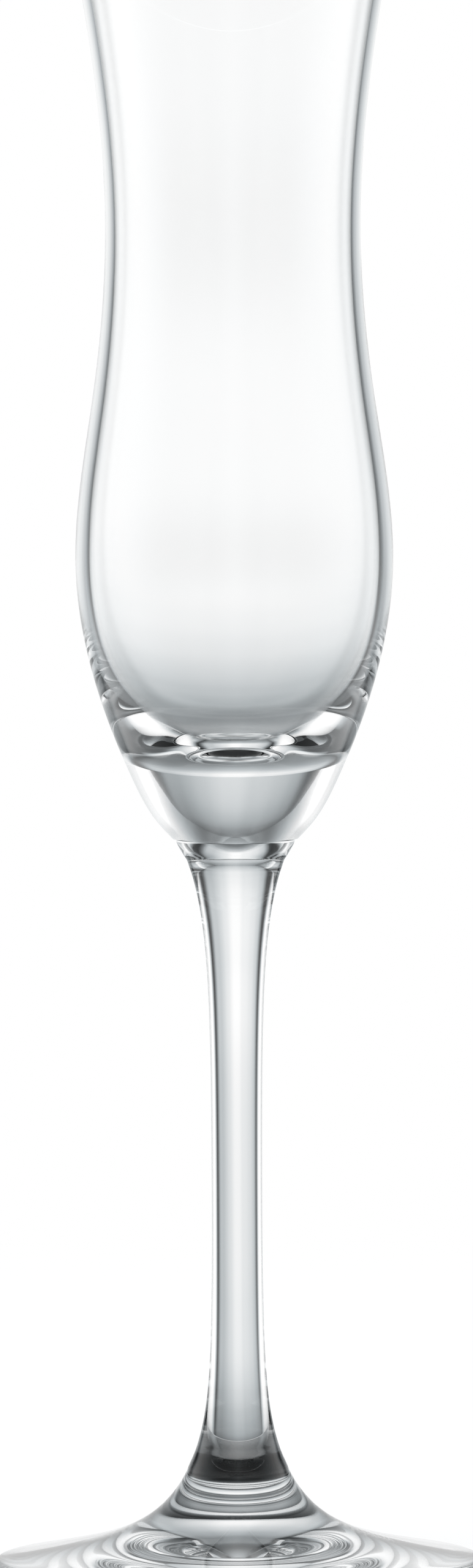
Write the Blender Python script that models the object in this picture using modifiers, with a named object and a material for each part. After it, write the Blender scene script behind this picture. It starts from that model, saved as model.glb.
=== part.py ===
"""A tall spirits glass: bowl, stem and foot, three turned pieces of clear glass fused end to end.

Metres, +Z up. Every piece is turned about Z, and the origin is the middle of the plane it stands on.
"""

import math

import bpy
import numpy as np

# Foot, a disc that sweeps up into the stem
FOOT_RADIUS = 0.0325
FOOT_EDGE = 0.0015  # thickness of the rounded edge
FOOT_HEIGHT = 0.0129  # table to the seam under the stem
FOOT_CONE_ANGLE = math.radians(9.9)  # fall of the upper side near the edge
FOOT_FLARE = 0.00425  # radius over which the sweep into the stem dies out
REST_RING_WIDTH = 0.0030  # flat ring that the glass stands on
UNDERSIDE_RISE = 0.0020  # height of the shallow cone inside the ring

# Stem, slender in the middle and swept out to a seam at each end
STEM_RADIUS = 0.00333
STEM_LENGTH = 0.0839
STEM_UPPER_FLARE = 0.0084  # length over which the sweep under the collar dies out
COLLAR_HEIGHT = 0.0026  # ring of glass left where the stem was drawn from the bowl
COLLAR_FOOT_RADIUS = 0.00651
COLLAR_BULGE = 0.00012
LOWER_SEAM_RADIUS = 0.00685
COLLAR_RADIUS = 0.00799

# Bowl, outside. Rises are above the seam on the stem
SEAT_RADIUS = 0.00835  # of the face that sits on the stem
BASE_LEAN = math.radians(46.0)  # of the base from upright, beside that face
BASE_RADIUS = 0.0107
BASE_RISE = 0.0025
HIP_RADIUS = 0.01327
HIP_RISE = 0.0070
SHOULDER_RADIUS = 0.01655
SHOULDER_RISE = 0.0147
BULB_RADIUS = 0.02105
BULB_RISE = 0.0354
FLANK_RADIUS = 0.01859
FLANK_RISE = 0.0593
WAIST_RADIUS = 0.01694
WAIST_RISE = 0.0807
RIM_RADIUS = 0.02140
BOWL_HEIGHT = 0.1203
RIM_FLARE_ANGLE = math.radians(10.8)  # lean of the wall at the lip

# Bowl, inside. The wall thickens downwards into a solid base
RIM_WALL = 0.00115
WAIST_WALL = 0.0013
FLANK_WALL = 0.00155
BULB_WALL = 0.00185
WELL_RADIUS = 0.01470  # a point on the round of the floor
WELL_RISE = 0.0187
FLOOR_RADIUS = 0.0085  # a point near the edge of the floor
FLOOR_EDGE_RISE = 0.0121
FLOOR_RISE = 0.0106  # solid glass between the seam and the floor of the bowl

# A fused seam is drawn as a butt joint with this gap
JOINT_GAP = 0.0003

# Fineness of the turned surfaces
TURN_STEPS = 48
MERGE_DISTANCE = 0.00001
BOWL_OUTSIDE_POINTS = 36
BOWL_INSIDE_POINTS = 32
STEM_POINTS = 22
COLLAR_POINTS = 5
FOOT_TOP_POINTS = 14
EDGE_POINTS = 4  # above its widest ring, and as many below
LIP_POINTS = 4  # inside its highest ring, and as many outside

# Clear crystal, a little greener where it is thick
GLASS_ROUGHNESS = 0.02
GLASS_IOR = 1.52
BOWL_COLOUR = (0.97, 0.985, 0.98, 1.0)
STEM_COLOUR = (0.95, 0.97, 0.97, 1.0)
FOOT_COLOUR = (0.95, 0.975, 0.965, 1.0)


def smooth_curve(stations, start_slope, end_slope, count):
    """Points on the cubic spline through (r, z) stations, with even curvature across each of them.

    start_slope and end_slope are the unit directions of the curve at its two ends.
    """
    knots = np.array(stations)
    steps = np.linalg.norm(np.diff(knots, axis=0), axis=1)
    places = np.concatenate([[0.0], np.cumsum(steps)])
    chords = np.diff(knots, axis=0) / steps[:, None]
    last = len(knots) - 1
    system = np.eye(last + 1)
    wanted = np.zeros((last + 1, 2))
    wanted[0], wanted[last] = start_slope, end_slope
    for i in range(1, last):
        before, after = steps[i - 1], steps[i]
        system[i, i - 1 : i + 2] = after, 2 * (before + after), before
        wanted[i] = 3 * (after * chords[i - 1] + before * chords[i])
    slopes = np.linalg.solve(system, wanted)
    points = []
    for s in np.linspace(0.0, places[-1], count):
        i = min(int(np.searchsorted(places, s, side="right")) - 1, last - 1)
        t = (s - places[i]) / steps[i]
        points.append(
            (1 + 2 * t) * (1 - t) ** 2 * knots[i]
            + t * (1 - t) ** 2 * steps[i] * slopes[i]
            + t**2 * (3 - 2 * t) * knots[i + 1]
            + t**2 * (t - 1) * steps[i] * slopes[i + 1]
        )
    return [(float(r), float(z)) for r, z in points]


def arc(centre, radius, start, end, count):
    """Points on a circular arc in the (r, z) plane, from angle start to angle end."""
    return [
        (centre[0] + radius * math.cos(a), centre[1] + radius * math.sin(a))
        for a in np.linspace(start, end, count)
    ]


def foot_sweep_rise():
    """Height that the sweep adds to the foot's cone at the seam."""
    cone_at_seam = foot_cone_height(LOWER_SEAM_RADIUS)
    return FOOT_HEIGHT - cone_at_seam


def foot_edge_tangent():
    """The point where the foot's cone runs into its rounded edge."""
    half = FOOT_EDGE / 2
    return (
        FOOT_RADIUS - half + half * math.sin(FOOT_CONE_ANGLE),
        half + half * math.cos(FOOT_CONE_ANGLE),
    )


def foot_cone_height(radius):
    edge_radius, edge_height = foot_edge_tangent()
    return edge_height + (edge_radius - radius) * math.tan(FOOT_CONE_ANGLE)


def foot_top_height(radius):
    """The foot's upper side: a cone, plus a sweep that dies out away from the stem."""
    sweep = math.exp((LOWER_SEAM_RADIUS - radius) / FOOT_FLARE)
    return foot_cone_height(radius) + foot_sweep_rise() * sweep


def stem_lower_flare():
    """Length of the stem's lower sweep, which leaves the seam in line with the foot."""
    foot_fall = math.tan(FOOT_CONE_ANGLE) + foot_sweep_rise() / FOOT_FLARE
    return (LOWER_SEAM_RADIUS - STEM_RADIUS) * foot_fall


def stem_radius(height):
    """Radius of the stem at a height above its lower seam, up to the collar."""
    upper = math.exp((height + COLLAR_HEIGHT - STEM_LENGTH) / STEM_UPPER_FLARE)
    lower = math.exp(-height / stem_lower_flare())
    return (
        STEM_RADIUS
        + (COLLAR_FOOT_RADIUS - STEM_RADIUS) * upper
        + (LOWER_SEAM_RADIUS - STEM_RADIUS) * lower
    )


def collar():
    """The side of the collar, a short cone that bulges a little, from the seam down."""
    points = []
    for t in np.linspace(0.0, 1.0, COLLAR_POINTS):
        bulge = 4 * t * (1 - t) * COLLAR_BULGE
        points.append(
            (
                COLLAR_RADIUS + t * (COLLAR_FOOT_RADIUS - COLLAR_RADIUS) + bulge,
                STEM_LENGTH - t * COLLAR_HEIGHT,
            )
        )
    return points


def bowl_outside():
    """The outer side of the bowl, from the lip down to the seam."""
    lip_radius, lip_height = lip_centre()
    half = RIM_WALL / 2
    lean, seam = RIM_FLARE_ANGLE, BASE_LEAN
    stations = [
        (lip_radius + half * math.cos(lean), lip_height - half * math.sin(lean)),
        (WAIST_RADIUS, WAIST_RISE),
        (FLANK_RADIUS, FLANK_RISE),
        (BULB_RADIUS, BULB_RISE),
        (SHOULDER_RADIUS, SHOULDER_RISE),
        (HIP_RADIUS, HIP_RISE),
        (BASE_RADIUS, BASE_RISE),
        (SEAT_RADIUS, 0.0),
    ]
    down_at_lip = (-math.sin(lean), -math.cos(lean))
    down_at_seam = (-math.sin(seam), -math.cos(seam))
    return smooth_curve(stations, down_at_lip, down_at_seam, BOWL_OUTSIDE_POINTS)


def bowl_inside():
    """The inner side of the bowl, from the middle of its floor up to the lip."""
    lip_radius, lip_height = lip_centre()
    half = RIM_WALL / 2
    lean = RIM_FLARE_ANGLE
    stations = [
        (0.0, FLOOR_RISE),
        (FLOOR_RADIUS, FLOOR_EDGE_RISE),
        (WELL_RADIUS, WELL_RISE),
        (BULB_RADIUS - BULB_WALL, BULB_RISE),
        (FLANK_RADIUS - FLANK_WALL, FLANK_RISE),
        (WAIST_RADIUS - WAIST_WALL, WAIST_RISE),
        (lip_radius - half * math.cos(lean), lip_height + half * math.sin(lean)),
    ]
    along_floor = (1.0, 0.0)
    up_at_lip = (math.sin(lean), math.cos(lean))
    return smooth_curve(stations, along_floor, up_at_lip, BOWL_INSIDE_POINTS)


def lip_centre():
    """Middle of the rounded lip, which touches the rim's radius and the bowl's height."""
    half = RIM_WALL / 2
    return RIM_RADIUS - half, BOWL_HEIGHT - half


def bowl_profile():
    """Up the inside, round the lip and down the outside to the face on the stem."""
    lean = RIM_FLARE_ANGLE
    half = RIM_WALL / 2
    lip_inside = arc(lip_centre(), half, math.pi - lean, math.pi / 2, LIP_POINTS)
    lip_outside = arc(lip_centre(), half, math.pi / 2, -lean, LIP_POINTS)
    return bowl_inside() + lip_inside[1:] + lip_outside[1:-1] + bowl_outside() + [(0.0, 0.0)]


def stem_profile():
    """Down the outside between the two flat seam faces."""
    around = np.linspace(0.0, math.pi, STEM_POINTS)
    heights = (STEM_LENGTH - COLLAR_HEIGHT) * (1 + np.cos(around)) / 2
    side = [(stem_radius(z), float(z)) for z in heights]
    return [(0.0, STEM_LENGTH)] + collar() + side[1:] + [(0.0, 0.0)]


def foot_profile():
    """From the face under the stem over the upper side, round the edge and back underneath."""
    half = FOOT_EDGE / 2
    edge_radius, _ = foot_edge_tangent()
    radii = np.geomspace(LOWER_SEAM_RADIUS, edge_radius, FOOT_TOP_POINTS)
    top = [(float(r), foot_top_height(r)) for r in radii]
    edge_centre = (FOOT_RADIUS - half, half)
    edge_above = arc(edge_centre, half, math.pi / 2 - FOOT_CONE_ANGLE, 0.0, EDGE_POINTS)
    edge_below = arc(edge_centre, half, 0.0, -math.pi / 2, EDGE_POINTS)
    ring = FOOT_RADIUS - half - REST_RING_WIDTH
    under = [(ring, 0.0), (0.0, UNDERSIDE_RISE)]
    return [(0.0, FOOT_HEIGHT)] + top + edge_above[1:] + edge_below[1:] + under


def clear_glass(name, colour):
    material = bpy.data.materials.new(name)
    material.use_nodes = True
    shader = material.node_tree.nodes["Principled BSDF"]
    shader.inputs["Base Color"].default_value = colour
    shader.inputs["Roughness"].default_value = GLASS_ROUGHNESS
    shader.inputs["Metallic"].default_value = 0.0
    shader.inputs["IOR"].default_value = GLASS_IOR
    shader.inputs["Transmission Weight"].default_value = 1.0
    return material


def turned(name, profile, material, collection, parent, height):
    """One piece: its profile in the XZ plane, turned about Z and stood at a height."""
    mesh = bpy.data.meshes.new(name)
    edges = [(i, i + 1) for i in range(len(profile) - 1)]
    mesh.from_pydata([(r, 0.0, z) for r, z in profile], edges, [])
    mesh.materials.append(material)
    piece = bpy.data.objects.new(name, mesh)
    piece.location.z = height
    piece.parent = parent
    screw = piece.modifiers.new("Turn", "SCREW")
    screw.axis = "Z"
    screw.steps = screw.render_steps = TURN_STEPS
    screw.use_merge_vertices = True
    screw.merge_threshold = MERGE_DISTANCE
    screw.use_smooth_shade = True
    collection.objects.link(piece)
    return piece


def main():
    for old in list(bpy.data.objects):
        bpy.data.objects.remove(old, do_unlink=True)
    collection = bpy.data.collections.new("spirits_glass")
    bpy.context.scene.collection.children.link(collection)
    axis = bpy.data.objects.new("glass_axis", None)
    collection.objects.link(axis)

    stem_foot = FOOT_HEIGHT + JOINT_GAP
    bowl_foot = stem_foot + STEM_LENGTH + JOINT_GAP
    turned("foot", foot_profile(), clear_glass("foot_glass", FOOT_COLOUR), collection, axis, 0.0)
    turned("stem", stem_profile(), clear_glass("stem_glass", STEM_COLOUR), collection, axis, stem_foot)
    turned("bowl", bowl_profile(), clear_glass("bowl_glass", BOWL_COLOUR), collection, axis, bowl_foot)


if __name__ == "__main__":
    main()
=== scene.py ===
"""The look of the spirits glass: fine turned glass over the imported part, on a pale table in a soft studio."""

import math

import bpy
import numpy as np
from mathutils import Matrix, Vector


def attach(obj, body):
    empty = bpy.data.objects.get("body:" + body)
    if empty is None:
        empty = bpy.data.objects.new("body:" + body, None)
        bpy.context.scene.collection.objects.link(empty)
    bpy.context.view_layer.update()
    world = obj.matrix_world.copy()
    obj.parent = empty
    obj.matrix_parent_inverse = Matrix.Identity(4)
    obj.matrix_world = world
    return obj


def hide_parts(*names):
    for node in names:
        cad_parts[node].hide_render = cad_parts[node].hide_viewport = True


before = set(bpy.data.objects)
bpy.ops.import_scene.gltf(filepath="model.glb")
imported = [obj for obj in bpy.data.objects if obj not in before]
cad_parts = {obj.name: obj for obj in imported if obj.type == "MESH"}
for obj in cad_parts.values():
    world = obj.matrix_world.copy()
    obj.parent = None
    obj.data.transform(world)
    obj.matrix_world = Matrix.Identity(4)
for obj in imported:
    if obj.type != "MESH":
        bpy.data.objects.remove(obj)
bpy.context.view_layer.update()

# Camera, in metres and degrees
CAMERA_DISTANCE = 1.6
CAMERA_HEIGHT = 0.1823
CAMERA_AIM = 0.1045
CAMERA_LENS = 277.0  # millimetres on the sensor's long side
CAMERA_SENSOR = 36.0
CAMERA_ROLL = -0.243
CAMERA_SHIFT = 0.0008  # share of the long side
CAMERA_CLIP = (0.1, 20.0)

# Fineness of the glass, with lengths in metres
TURN_STEPS = 160
UNDER_STEPS = 60  # points along the cone under the foot
WALL_SPACING = 0.0008
FINE_SPACING = 0.00006  # on the lip and on the foot's edge
LIP_DEPTH = 0.0012  # the lip is rounded within this of the top
TIP_RADIUS = 0.006  # the tip of the cone under the foot is rounded within this of the axis
EDGE_DEPTH = 0.00076  # the foot's edge is rounded within this of its radius
ON_PLANE = 1e-6

# Glass, with lengths in metres
GLASS_IOR = 1.52
GLASS_TINT = (0.992, 0.996, 0.996, 1.0)
GLASS_BOUNCES = 32
WAVE_LENGTH = 0.012
WAVE_HEIGHT = 0.000012
WAVE_DETAIL = 1.0
WHITE = (1.0, 1.0, 1.0, 1.0)

# What the glass sees of the studio, as (degrees, share of white) stops. Across runs from straight behind the glass
# to the right, round runs from there to either side, and up runs from the horizon.
BACK_ACROSS = (
    (-42, 0.0), (-38, 0.13), (-33, 0.55), (-26, 0.78), (-18, 0.89), (-12, 0.945), (-8, 0.96), (-4.5, 1.04),
    (0, 1.055), (4, 1.035), (8.5, 0.915), (15, 0.8), (22, 0.64), (31, 0.56), (35, 0.25), (40, 0.0),
)
BACK_UP = (
    (-90, 0.9), (-68, 0.6), (-50, 0.27), (-29, 0.34), (-20, 0.5), (-15.7, 0.6), (-10, 0.77), (-6, 0.865),
    (-3.6, 0.925), (-2, 1.0), (-0.6, 1.0), (1, 0.965), (6, 0.965), (13, 0.91), (20, 0.8), (33, 0.6),
    (45, 0.37), (53, 0.19), (60, 0.06),
)
BACK_WIDEN = 0.0019  # share of its width that the back panel gains for each degree up
BACK_TILT = 0.08  # degrees that it leans to the right for each degree up
SIDE_WHITE = 1.16  # a little over white, to make up for what the glass reflects away
SIDE_LEAN = 0.35  # degrees that a side panel's inner edge leans outwards for each degree up
SIDE_EDGE = ((40, 0.0), (43, 0.18), (46, 0.5), (50, 0.86), (56, 1.0))
SIDE_ROUND = (
    (64, 1.0), (72, 0.92), (80, 0.8), (90, 0.62), (100, 0.44), (110, 0.28), (120, 0.15), (130, 0.08),
    (155, 0.06), (168, 0.08), (180, 0.18),
)
SIDE_UP = (
    (-90, 0.95), (-68, 0.7), (-50, 0.45), (-35, 0.62), (-20, 0.85), (-10, 1.0), (15, 1.0),
    (28, 0.98), (36, 0.92), (44, 0.86), (50, 0.8), (57, 0.62), (65, 0.24), (73, 0.05),
)
TABLE_SHINE = (  # how far the table, below the horizon, makes the camera side as pale as the side panels
    (-90, 0.9), (-65, 0.7), (-45, 0.4), (-28, 0.76), (-16, 0.8), (-10, 0.4), (-5, 0.06), (-1, 0.0),
)
CEILING = ((55, 0.0), (66, 0.12), (80, 0.42), (90, 0.5))
ROOM = 0.01  # the least level anywhere
COOL_GREY = (0.94, 1.01, 1.045, 1.0)
COOL_BELOW = 0.45  # share of white up to which the studio is cool grey
AMBIENT = 0.8  # level that lights the table

# Lamp, in metres and watts
LAMP_SIZE = 1.2
LAMP_POWER = 8.0
LAMP_PLACE = (-0.25, 0.1, 1.4)
LAMP_AIM = (0.0, 0.0, 0.1)

# Table
TABLE_RADIUS = 3.0
TABLE_CORNERS = 128
TABLE_DROP = 0.00015  # a hair under the foot, so that two faces never share one plane
TABLE_WHITE = 0.95
TABLE_SHADED = ((0.0, 0.4), (0.12, 0.4), (0.5, 0.0))  # share of it that shows shadow, by distance in metres
PAINTED_SHADOW_UNDER_FOOT = (  # painted shadow under the foot: share of the light that the glass sees through the table, by distance in metres
    (0.01, 0.015), (0.015, 0.08), (0.02, 0.25), (0.026, 0.5), (0.033, 0.7), (0.042, 0.98), (0.055, 1.0),
)


def half_outline(node):
    """The outline of a turned CAD node in the half plane beside the axis, as (r, z), from its upper end on."""
    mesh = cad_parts[node].data
    places = {
        v.index: (round(max(v.co.x, 0.0), 7), round(v.co.z, 7))
        for v in mesh.vertices
        if abs(v.co.y) < ON_PLANE and v.co.x > -ON_PLANE
    }
    neighbours = {}
    for a, b in mesh.edge_keys:
        if a in places and b in places and places[a] != places[b]:
            neighbours.setdefault(places[a], set()).add(places[b])
            neighbours.setdefault(places[b], set()).add(places[a])
    here = max((p for p in neighbours if len(neighbours[p]) == 1), key=lambda p: p[1])
    outline = [here]
    while True:
        ahead = [p for p in neighbours[here] if p not in outline]
        if not ahead:
            return np.array(outline)
        here = ahead[0]
        outline.append(here)


def spline(knots, spacing, start=None, end=None):
    """Points about a spacing apart on the cubic spline through knots, and each knot's place among them and direction.

    An end with a slope leaves along it, and an end without one leaves straight.
    """
    knots = np.array(knots)
    steps = np.linalg.norm(np.diff(knots, axis=0), axis=1)
    chords = np.diff(knots, axis=0) / steps[:, None]
    last = len(knots) - 1
    system = np.eye(last + 1)
    wanted = np.zeros((last + 1, 2))
    for row, beside, chord, slope in ((0, 1, 0, start), (last, last - 1, last - 1, end)):
        if slope is None:
            system[row, row], system[row, beside] = 2.0, 1.0
            wanted[row] = 3.0 * chords[chord]
        else:
            wanted[row] = slope
    for i in range(1, last):
        before, after = steps[i - 1], steps[i]
        system[i, i - 1 : i + 2] = after, 2 * (before + after), before
        wanted[i] = 3 * (after * chords[i - 1] + before * chords[i])
    slopes = np.linalg.solve(system, wanted)
    points, at_knot = [], []
    for i in range(last):
        at_knot.append(len(points))
        count = max(1, math.ceil(steps[i] / spacing))
        for t in np.arange(count) / count:
            points.append(
                (1 + 2 * t) * (1 - t) ** 2 * knots[i]
                + t * (1 - t) ** 2 * steps[i] * slopes[i]
                + t**2 * (3 - 2 * t) * knots[i + 1]
                + t**2 * (t - 1) * steps[i] * slopes[i + 1]
            )
    at_knot.append(len(points))
    points.append(knots[last])
    return np.array(points), at_knot, slopes / np.linalg.norm(slopes, axis=1)[:, None]


def glass_profiles():
    """The fused glass as three fine profiles, for bowl, stem and foot, which meet at the middle of each seam."""
    bowl, stem, foot = (half_outline(n) for n in ("bowl", "stem", "foot"))
    seat_height = (bowl[-1, 1] + stem[0, 1]) / 2
    seat, collar = (bowl[-1, 0], seat_height), (stem[0, 0], seat_height)
    lower_seam = (stem[-1] + foot[0]) / 2

    lip = np.flatnonzero(bowl[:, 1] > bowl[:, 1].max() - LIP_DEPTH)
    edge = np.flatnonzero(foot[:, 0] > foot[:, 0].max() - EDGE_DEPTH)
    inside, _, inner_slopes = spline(bowl[: lip[0] + 1], WALL_SPACING, start=(1.0, 0.0))
    outside, _, outer_slopes = spline(np.vstack([bowl[lip[-1] : -1], [seat]]), WALL_SPACING)
    rim, _, _ = spline(bowl[lip], FINE_SPACING, inner_slopes[-1], outer_slopes[0])
    rim[:, 1] = np.minimum(rim[:, 1], bowl[:, 1].max())

    below = np.vstack([[collar], stem[1:-1], [lower_seam], foot[1 : edge[0] + 1]])
    drawn, at_knot, drawn_slopes = spline(below, WALL_SPACING)
    rounded, _, _ = spline(foot[edge], FINE_SPACING, drawn_slopes[-1], (-1.0, 0.0))
    rounded[:, 0] = np.minimum(rounded[:, 0], foot[:, 0].max())
    (ring, _), (_, peak) = foot[edge[-1] + 1 :]
    under = np.array([(r, peak * (1 - rounded_tip(r) / ring)) for r in np.linspace(ring, 0.0, UNDER_STEPS)])

    above = np.vstack([inside[:-1], rim[:-1], outside])
    below = np.vstack([[seat], drawn[:-1], rounded, under])
    lower = 1 + at_knot[len(stem) - 1]
    return {
        "bowl": (above, profile_normals(above)),
        "stem": (below[: lower + 1], profile_normals(below)[: lower + 1]),
        "foot": (below[lower:], profile_normals(below)[lower:]),
    }


def rounded_tip(r):
    """The distance from the axis, with its corner at the axis rounded off."""
    if r > TIP_RADIUS:
        return r
    return (TIP_RADIUS + r * r / TIP_RADIUS) / 2


def turned(name, profile, normals):
    """A mesh object: the profile turned about Z, closed where it meets the axis and open where it ends at a seam."""
    angles = np.arange(TURN_STEPS) * math.tau / TURN_STEPS
    vertices, directions, rings = [], [], []
    for (r, z), (nr, nz) in zip(profile, normals):
        if r < ON_PLANE:
            rings.append([len(vertices)] * TURN_STEPS)
            vertices.append((0.0, 0.0, z))
            directions.append((0.0, 0.0, math.copysign(1.0, nz)))
            continue
        rings.append(range(len(vertices), len(vertices) + TURN_STEPS))
        for a in angles:
            vertices.append((r * math.cos(a), r * math.sin(a), z))
            directions.append((nr * math.cos(a), nr * math.sin(a), nz))
    faces = []
    for above, below in zip(rings, rings[1:]):
        for j in range(TURN_STEPS):
            k = (j + 1) % TURN_STEPS
            corners = [above[j], below[j], below[k], above[k]]
            faces.append(list(dict.fromkeys(corners)))
    mesh = bpy.data.meshes.new(name)
    mesh.from_pydata(vertices, [], faces)
    mesh.shade_smooth()
    mesh.normals_split_custom_set_from_vertices(directions)
    piece = bpy.data.objects.new(name, mesh)
    bpy.context.scene.collection.objects.link(piece)
    return piece


def profile_normals(profile):
    """Unit normals of the profile, towards the air."""
    steps = np.diff(profile, axis=0)
    lengths = np.linalg.norm(steps, axis=1)[:, None]
    chords = steps / lengths
    middle = (lengths[1:] * chords[:-1] + lengths[:-1] * chords[1:]) / (lengths[1:] + lengths[:-1])
    along = np.vstack([chords[:1], middle, chords[-1:]])
    normals = np.column_stack([-along[:, 1], along[:, 0]])
    return normals / np.linalg.norm(normals, axis=1)[:, None]


def maths(tree, operation, *values):
    """The result of a Math node on numbers and sockets."""
    node = tree.nodes.new("ShaderNodeMath")
    node.operation = operation
    for socket, value in zip(node.inputs, values):
        if isinstance(value, bpy.types.NodeSocket):
            tree.links.new(value, socket)
        else:
            socket.default_value = value
    return node.outputs[0]


def curve(tree, value, stops):
    """A level read off (value, level) stops, along a smooth line through them."""
    low, high = stops[0][0], stops[-1][0]
    top = max(level for _, level in stops)
    spread = tree.nodes.new("ShaderNodeMapRange")
    spread.inputs["From Min"].default_value = low
    spread.inputs["From Max"].default_value = high
    tree.links.new(value, spread.inputs["Value"])
    node = tree.nodes.new("ShaderNodeValToRGB")
    node.color_ramp.interpolation = "CARDINAL"
    elements = node.color_ramp.elements
    while len(elements) < len(stops):
        elements.new(0.5)
    for element, (place, level) in zip(elements, stops):
        element.position = (place - low) / (high - low)
        element.color = (level / top, level / top, level / top, 1.0)
    tree.links.new(spread.outputs["Result"], node.inputs["Fac"])
    return maths(tree, "MULTIPLY", node.outputs["Color"], top)


def blend(tree, share, first, second):
    """A grey level between two others."""
    node = tree.nodes.new("ShaderNodeMix")
    node.data_type = "FLOAT"
    for socket, value in zip((node.inputs[0], node.inputs[2], node.inputs[3]), (share, first, second)):
        if isinstance(value, bpy.types.NodeSocket):
            tree.links.new(value, socket)
        else:
            socket.default_value = value
    return node.outputs[0]


def clear_glass(name):
    """Clear glass with the slightest tint and waviness, as fire polishing leaves it."""
    material = bpy.data.materials.new(name)
    material.use_nodes = True
    tree = material.node_tree
    shader = tree.nodes["Principled BSDF"]
    shader.inputs["Roughness"].default_value = 0.0
    shader.inputs["IOR"].default_value = GLASS_IOR
    shader.inputs["Transmission Weight"].default_value = 1.0

    waves = tree.nodes.new("ShaderNodeTexNoise")
    waves.inputs["Scale"].default_value = 1 / WAVE_LENGTH
    waves.inputs["Detail"].default_value = WAVE_DETAIL
    tree.links.new(tree.nodes.new("ShaderNodeTexCoord").outputs["Object"], waves.inputs["Vector"])
    bump = tree.nodes.new("ShaderNodeBump")
    bump.inputs["Distance"].default_value = WAVE_HEIGHT
    tree.links.new(waves.outputs["Fac"], bump.inputs["Height"])
    tree.links.new(bump.outputs["Normal"], shader.inputs["Normal"])

    tint = tree.nodes.new("ShaderNodeValToRGB")
    faint, clear = tint.color_ramp.elements
    faint.color, clear.color = GLASS_TINT, WHITE
    tree.links.new(waves.outputs["Fac"], tint.inputs["Fac"])
    tree.links.new(tint.outputs["Color"], shader.inputs["Base Color"])
    return material


def seen_by_glass(tree):
    """1 on a ray that glass has reflected or let through, else 0, and 1 on a camera ray, else 0."""
    path = tree.nodes.new("ShaderNodeLightPath")
    glass = maths(tree, "MAXIMUM", path.outputs["Is Glossy Ray"], path.outputs["Is Transmission Ray"])
    return glass, path.outputs["Is Camera Ray"]


def studio():
    """White to the camera. To the glass, a soft panel behind it, pale sides, dark gaps and a dim camera side."""
    world = bpy.data.worlds.new("studio")
    bpy.context.scene.world = world
    world.use_nodes = True
    tree = world.node_tree
    split = tree.nodes.new("ShaderNodeSeparateXYZ")
    tree.links.new(tree.nodes.new("ShaderNodeTexCoord").outputs["Generated"], split.inputs[0])
    x, y, z = split.outputs
    across = maths(tree, "DEGREES", maths(tree, "ARCTAN2", x, y))
    heading = maths(tree, "ABSOLUTE", across)
    rise = maths(tree, "DEGREES", maths(tree, "ARCSINE", z))

    narrowed = maths(tree, "SUBTRACT", 1.0, maths(tree, "MULTIPLY", rise, BACK_WIDEN))
    tilted = maths(tree, "MULTIPLY", rise, BACK_TILT)
    beside = maths(tree, "SUBTRACT", maths(tree, "MULTIPLY", across, narrowed), tilted)
    back = maths(tree, "MULTIPLY", curve(tree, beside, BACK_ACROSS), curve(tree, rise, BACK_UP))
    leaning = maths(tree, "SUBTRACT", heading, maths(tree, "MULTIPLY", rise, SIDE_LEAN))
    sides = blend(tree, curve(tree, rise, TABLE_SHINE), curve(tree, heading, SIDE_ROUND), 1.0)
    sides = maths(tree, "MULTIPLY", sides, curve(tree, leaning, SIDE_EDGE))
    sides = maths(tree, "MULTIPLY", sides, curve(tree, rise, SIDE_UP))
    sides = maths(tree, "MULTIPLY", sides, SIDE_WHITE)
    level = maths(tree, "ADD", maths(tree, "MAXIMUM", back, sides), curve(tree, rise, CEILING))
    level = maths(tree, "ADD", level, ROOM)

    glass, camera = seen_by_glass(tree)
    strength = blend(tree, camera, blend(tree, glass, AMBIENT, level), 1.0)
    tone = tree.nodes.new("ShaderNodeValToRGB")
    cool, white = tone.color_ramp.elements
    cool.position, cool.color = COOL_BELOW, COOL_GREY
    white.color = WHITE
    tree.links.new(strength, tone.inputs["Fac"])
    tree.links.new(tone.outputs["Color"], tree.nodes["Background"].inputs["Color"])
    tree.links.new(strength, tree.nodes["Background"].inputs["Strength"])


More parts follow.
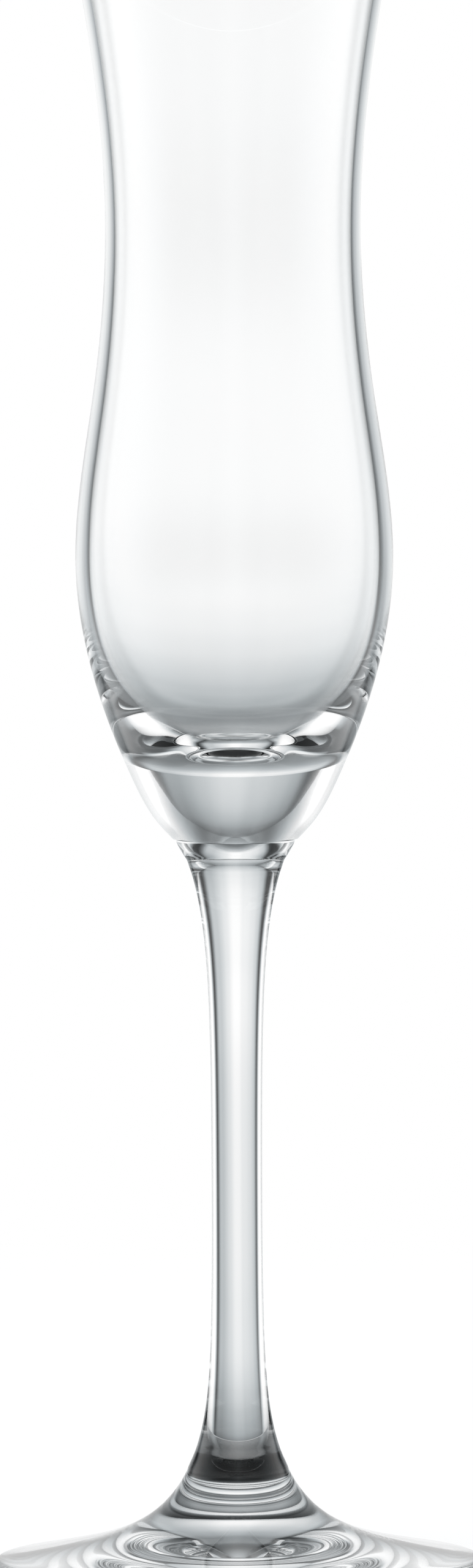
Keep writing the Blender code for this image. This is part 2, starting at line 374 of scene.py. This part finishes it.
def table():
    """A white round table that takes a soft shadow. The glass sees the studio through it, darkened under the foot by
    a painted shadow.
    """
    mesh = bpy.data.meshes.new("table")
    ring = [
        (TABLE_RADIUS * math.cos(a), TABLE_RADIUS * math.sin(a), -TABLE_DROP)
        for a in np.arange(TABLE_CORNERS) * math.tau / TABLE_CORNERS
    ]
    mesh.from_pydata(ring, [], [list(range(len(ring)))])
    top = bpy.data.objects.new("table", mesh)
    bpy.context.scene.collection.objects.link(top)

    material = bpy.data.materials.new("table_white")
    material.use_nodes = True
    mesh.materials.append(material)
    tree = material.node_tree
    tree.nodes.clear()
    split = tree.nodes.new("ShaderNodeSeparateXYZ")
    tree.links.new(tree.nodes.new("ShaderNodeNewGeometry").outputs["Position"], split.inputs[0])
    x, y, _ = split.outputs
    away = maths(tree, "SQRT", maths(tree, "ADD", maths(tree, "MULTIPLY", x, x), maths(tree, "MULTIPLY", y, y)))

    glow = tree.nodes.new("ShaderNodeEmission")
    paint = tree.nodes.new("ShaderNodeBsdfDiffuse")
    paint.inputs["Color"].default_value = (TABLE_WHITE, TABLE_WHITE, TABLE_WHITE, 1.0)
    clear = tree.nodes.new("ShaderNodeBsdfTransparent")
    # painted shadow: what the glass sees through the table is darker near the axis, under the foot
    tree.links.new(curve(tree, away, PAINTED_SHADOW_UNDER_FOOT), clear.inputs["Color"])
    glass, _ = seen_by_glass(tree)
    shown = mix_shaders(tree, curve(tree, away, TABLE_SHADED), glow, paint)
    output = tree.nodes.new("ShaderNodeOutputMaterial")
    tree.links.new(mix_shaders(tree, glass, shown, clear).outputs[0], output.inputs["Surface"])


def mix_shaders(tree, share, first, second):
    """A Mix Shader node between two shader nodes."""
    node = tree.nodes.new("ShaderNodeMixShader")
    tree.links.new(share, node.inputs[0])
    tree.links.new(first.outputs[0], node.inputs[1])
    tree.links.new(second.outputs[0], node.inputs[2])
    return node


def overhead_light():
    """A soft lamp for the shadow on the table. The glass and the camera don't see it."""
    data = bpy.data.lights.new("overhead", "AREA")
    data.shape = "DISK"
    data.size = LAMP_SIZE
    data.energy = LAMP_POWER
    light = bpy.data.objects.new("overhead", data)
    light.location = LAMP_PLACE
    light.rotation_euler = (Vector(LAMP_AIM) - light.location).to_track_quat("-Z", "Y").to_euler()
    light.visible_glossy = light.visible_transmission = light.visible_camera = False
    bpy.context.scene.collection.objects.link(light)


def camera():
    """The photo's viewpoint, aimed at a height on the axis."""
    data = bpy.data.cameras.new("camera")
    data.lens = CAMERA_LENS
    data.sensor_width = CAMERA_SENSOR
    data.shift_x = CAMERA_SHIFT
    data.clip_start, data.clip_end = CAMERA_CLIP
    view = bpy.data.objects.new("camera", data)
    view.location = (0.0, -CAMERA_DISTANCE, CAMERA_HEIGHT)
    aim = Vector((0.0, 0.0, CAMERA_AIM)) - view.location
    roll = Matrix.Rotation(math.radians(CAMERA_ROLL), 4, "Z").to_quaternion()
    view.rotation_mode = "QUATERNION"
    view.rotation_quaternion = aim.to_track_quat("-Z", "Y") @ roll
    bpy.context.scene.collection.objects.link(view)
    bpy.context.scene.camera = view


def main():
    """Dress the three nodes, set the stage and keep the sizes."""
    scene = bpy.context.scene
    scene.view_settings.view_transform = "Standard"
    scene.cycles.max_bounces = scene.cycles.transmission_bounces = scene.cycles.glossy_bounces = GLASS_BOUNCES
    for node, (profile, normals) in glass_profiles().items():
        piece = turned(node + "_glass", profile, normals)
        piece.data.materials.append(clear_glass(node + "_crystal"))
        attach(piece, "root")
        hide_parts(node)
    table()
    studio()
    overhead_light()
    camera()


main()
